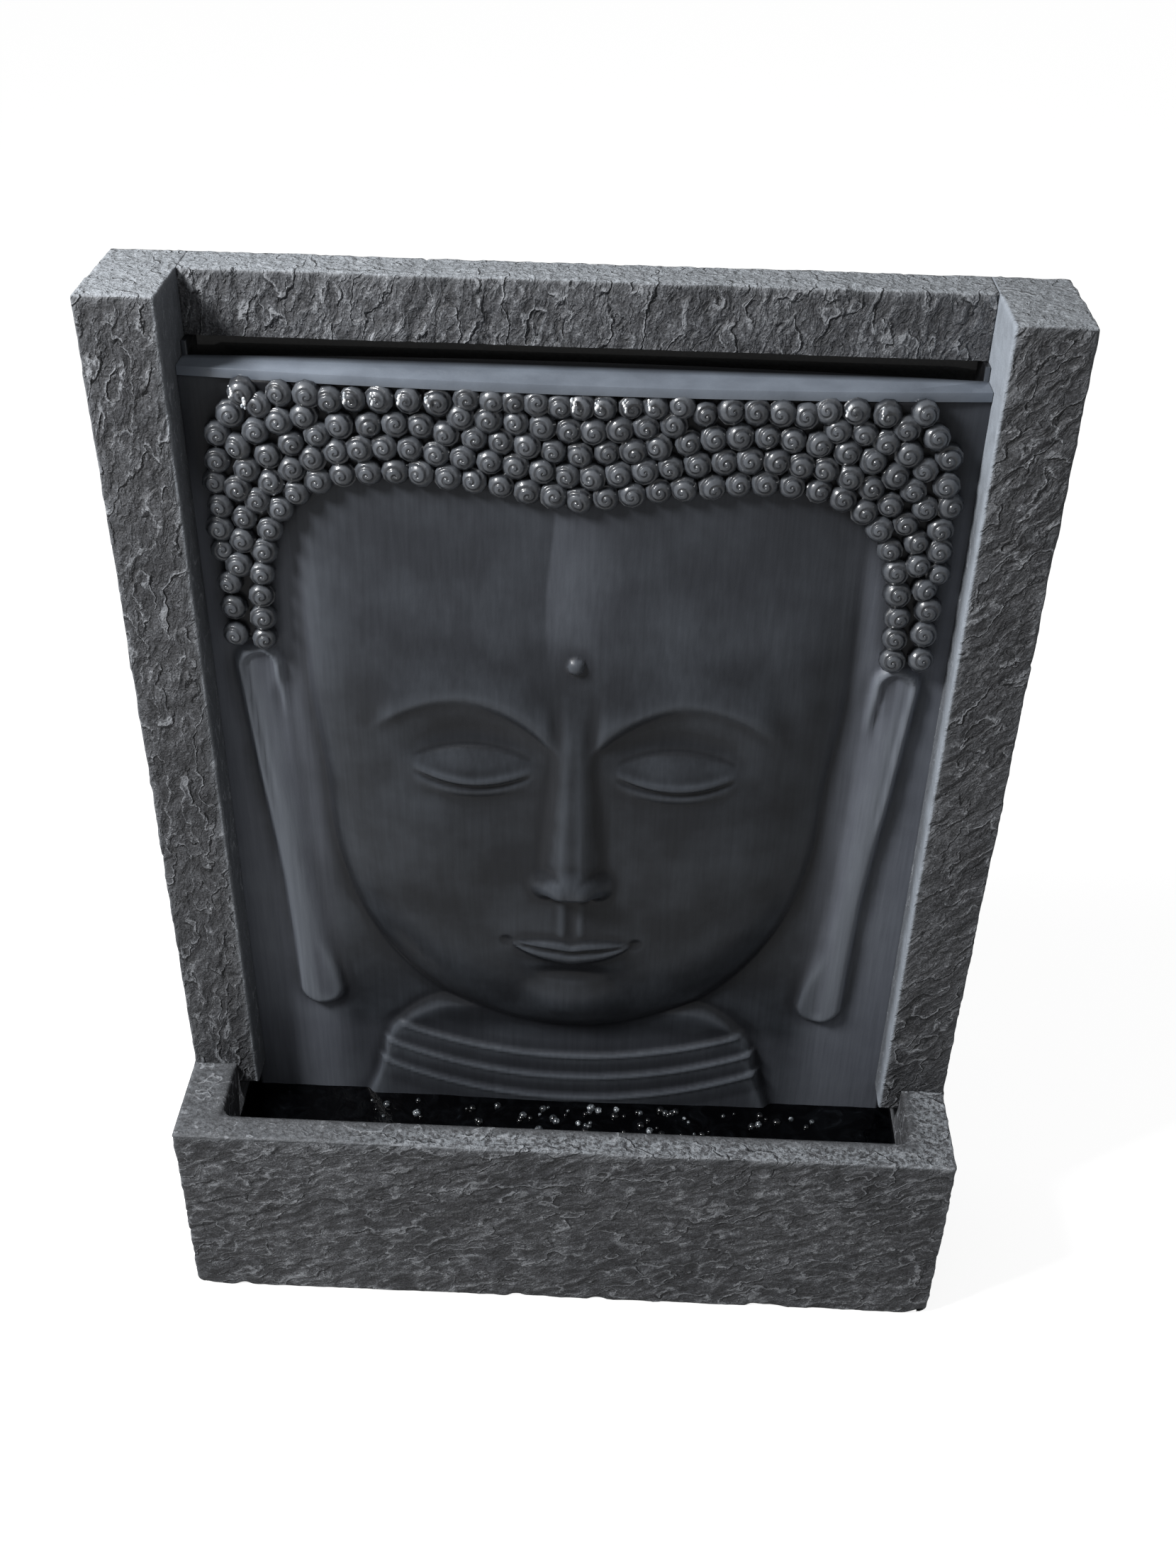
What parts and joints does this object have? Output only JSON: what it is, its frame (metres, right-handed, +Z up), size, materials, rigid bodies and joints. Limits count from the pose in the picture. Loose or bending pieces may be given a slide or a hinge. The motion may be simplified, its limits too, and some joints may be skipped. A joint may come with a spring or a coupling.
{
  "type": "garden wall fountain",
  "caption": "Dark stone garden wall fountain: a head in relief between two columns, over which water runs from a hidden trough into a basin with a pump.",
  "frame": {"origin": "bottom centre of the basin, which is the bottom centre of the whole fountain", "axes": "+X to the right as seen from the front, -Y to the front, +Z up"},
  "size_m": [0.6, 0.164, 0.8],
  "materials": {
    "cast_stone": "rough cleft slate face, dark blue-grey",
    "relief_stone": "smooth, wet, dark blue-grey",
    "trough_plastic": "smooth, painted like the stone",
    "cover_plastic": "fine matt grain",
    "stainless": "turned stainless steel",
    "pipe_plastic": "smooth black pipe",
    "hose_rubber": "soft black hose",
    "seal_rubber": "matt black rubber",
    "pump_plastic": "moulded, satin black",
    "stator_iron": "varnished laminations",
    "copper_wire": "enamelled copper winding",
    "ceramic_shaft": "ground white ceramic",
    "magnet": "sintered ferrite",
    "foam": "open-cell filter foam"
  },
  "bodies": {
    "root": {"basin": "cast_stone", "panel_seats": "cast_stone", "column_left": "cast_stone", "column_right": "cast_stone", "lintel": "cast_stone", "relief_panel": "relief_stone", "spill_trough": "trough_plastic", "rear_cover": "cover_plastic", "cover_screws": "stainless", "cable_grommet": "seal_rubber", "frame_bolts": "stainless", "frame_washers": "stainless", "frame_nuts": "stainless", "trough_screws": "stainless", "manifold_tee": "pipe_plastic", "spray_pipes": "pipe_plastic", "spray_end_caps": "pipe_plastic", "bulkhead_seal": "seal_rubber", "bulkhead_nut": "pipe_plastic", "riser_hose": "hose_rubber", "hose_clamps": "stainless", "hose_clips": "pipe_plastic", "clip_screws": "stainless", "pump_housing": "pump_plastic", "pump_back_plate": "pump_plastic", "pump_cable_gland": "seal_rubber", "stator_core": "stator_iron", "stator_coil": "copper_wire", "pump_shaft": "ceramic_shaft", "shaft_bushes": "seal_rubber", "volute_cover": "pump_plastic", "volute_screws": "stainless", "volute_seal": "seal_rubber", "outlet_adapter": "pump_plastic", "suction_feet": "seal_rubber"},
    "impeller": {"pump_rotor": "magnet", "pump_impeller": "pump_plastic"},
    "strainer": {"strainer_cage": "pump_plastic", "filter_sponge": "foam"},
    "dial": {"flow_dial": "pump_plastic"}
  },
  "joints": [
    {"name": "impeller_spin", "type": "hinge", "parent": "root", "child": "impeller", "pos_m": [0.118, 0.043, 0.045], "axis": [1, 0, 0], "continuous": true},
    {"name": "strainer_slide", "type": "slide", "parent": "root", "child": "strainer", "axis": [1, 0, 0], "range_m": [0, 0.045]},
    {"name": "flow_dial_turn", "type": "hinge", "parent": "strainer", "child": "dial", "pos_m": [0.118, 0.043, 0.045], "axis": [1, 0, 0], "range_deg": [0, 45]}
  ]
}
